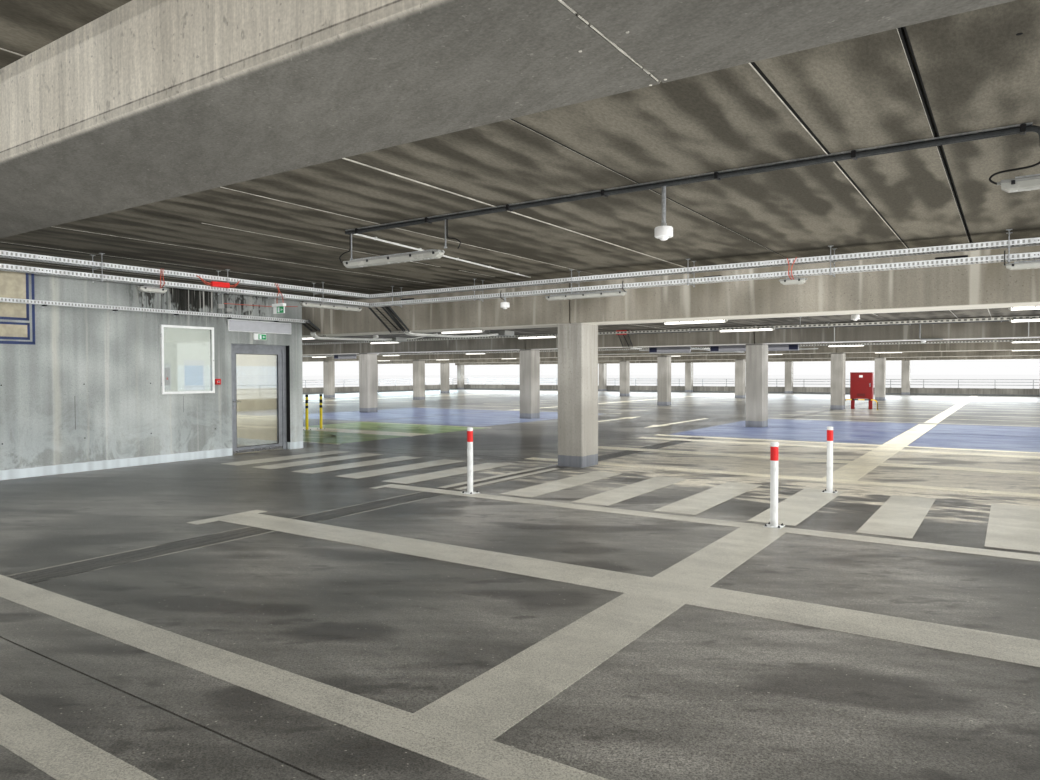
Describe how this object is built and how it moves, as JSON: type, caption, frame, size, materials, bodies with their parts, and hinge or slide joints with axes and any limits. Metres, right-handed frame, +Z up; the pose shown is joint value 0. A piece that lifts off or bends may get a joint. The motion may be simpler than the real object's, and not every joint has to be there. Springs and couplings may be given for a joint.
{
  "type": "multi storey car park, 1:2 scale model",
  "caption": "Open-sided multi storey car park: planked concrete decks on beams and columns, an enclosed core with a swing door, edge upstands with rails, lights, cable trays and bollards.",
  "frame": {"origin": "centre of the underside of the ground slab", "axes": "+X across the building towards the right long side, +Y along the building towards the far short side, +Z up"},
  "size_m": [24.5, 33.2, 7.1],
  "materials": {
    "concrete": "grey precast concrete, streaked",
    "column_concrete": "pale cast concrete with a grey painted base",
    "wall_concrete": "pale grey cast concrete with lime streaks",
    "deck_concrete": "dark prestressed deck planks",
    "asphalt": "dark rough floor finish with worn markings",
    "galvanised_steel": "galvanised",
    "door_aluminium": "blue grey satin",
    "clear_glass": "clear",
    "bright_steel": "brushed",
    "white_metal": "white, satin",
    "sign_white": "bare white sign plates",
    "signal_red": "red",
    "luminaire_white": "translucent white",
    "sensor_white": "white",
    "bollard_paint": "white with a red band, or yellow with black bands",
    "cabinet_red": "red",
    "hoop_yellow": "yellow with black bands"
  },
  "bodies": {
    "car_park": {"ground_slab": "concrete", "ground_surfacing": "asphalt", "ground_columns": "column_concrete", "first_floor_columns": "column_concrete", "second_floor_columns": "column_concrete", "ground_beams": "concrete", "first_floor_beams": "concrete", "second_floor_beams": "concrete", "wide_beams": "concrete", "first_deck_planks": "deck_concrete", "second_deck_planks": "deck_concrete", "roof_deck_planks": "deck_concrete", "first_deck_surfacing": "asphalt", "second_deck_surfacing": "asphalt", "roof_deck_surfacing": "asphalt", "ground_upstands": "column_concrete", "first_floor_upstands": "column_concrete", "second_floor_upstands": "column_concrete", "roof_upstands": "column_concrete", "ground_guard_rails": "galvanised_steel", "first_floor_guard_rails": "galvanised_steel", "second_floor_guard_rails": "galvanised_steel", "roof_guard_rails": "galvanised_steel", "core_wall_beside_doors": "wall_concrete", "core_corner_strip": "wall_concrete", "core_walls_over_doors": "wall_concrete", "core_end_walls": "wall_concrete", "core_back_wall": "wall_concrete", "core_floors": "concrete", "core_roof": "concrete", "ground_door_frame": "door_aluminium", "ground_hinge_pins": "bright_steel", "upper_doors": "door_aluminium", "upper_door_glass": "clear_glass", "notice_case": "white_metal", "notice_case_glass": "clear_glass", "wall_signs": "sign_white", "fire_call_points": "signal_red", "luminaires": "luminaire_white", "ceiling_sensors": "sensor_white", "service_hangers": "galvanised_steel", "cable_trays": "galvanised_steel", "bollards": "bollard_paint", "hydrant_cabinets": "cabinet_red", "cabinet_guard_hoops": "hoop_yellow"},
    "ground_door": {"ground_door_leaf": "door_aluminium", "ground_door_glass": "clear_glass", "ground_door_handles": "bright_steel", "ground_hinge_knuckles": "bright_steel"}
  },
  "joints": [
    {"name": "ground_door_hinge", "type": "hinge", "parent": "car_park", "child": "ground_door", "pos_m": [4.676, -7.85, 0.7], "axis": [0, 0, -1], "range_deg": [0, 90]}
  ]
}
